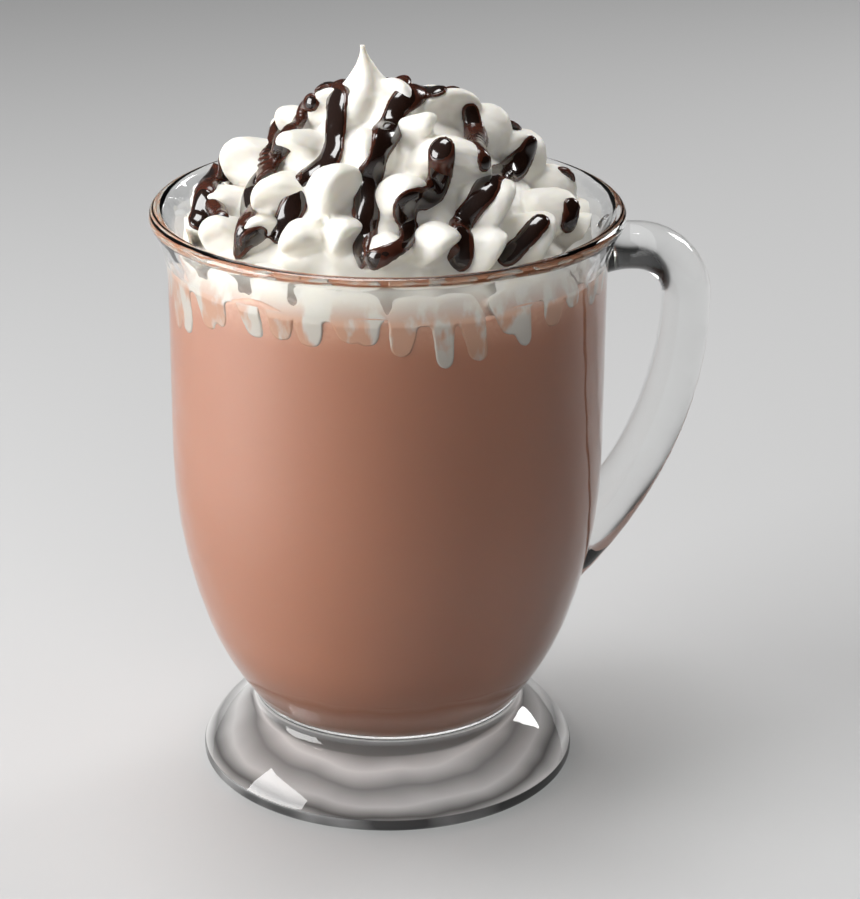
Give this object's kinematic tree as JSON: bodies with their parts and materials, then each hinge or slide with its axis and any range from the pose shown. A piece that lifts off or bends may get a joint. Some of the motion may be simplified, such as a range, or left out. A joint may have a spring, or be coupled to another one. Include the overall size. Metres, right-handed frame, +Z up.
{
  "type": "mug of hot chocolate",
  "caption": "Footed clear glass mug with a side handle, filled with hot chocolate and topped with a piped mound of whipped cream and chocolate sauce.",
  "frame": {"origin": "on the mug's axis, in the plane of the foot's ring, which is what it stands on", "axes": "+Z up along the mug's axis, +X from the axis out through the middle of the handle, +Y to the back of the view with the handle on the right"},
  "size_m": [0.1137, 0.096, 0.1545],
  "materials": {
    "glass": "clear pressed glass, fire polished",
    "drink": "opaque milky hot chocolate",
    "cream": "soft satin whipped cream",
    "sauce": "wet glossy dark chocolate sauce"
  },
  "bodies": {
    "root": {"mug": "glass", "drink": "drink", "cream": "cream"}
  },
  "joints": []
}
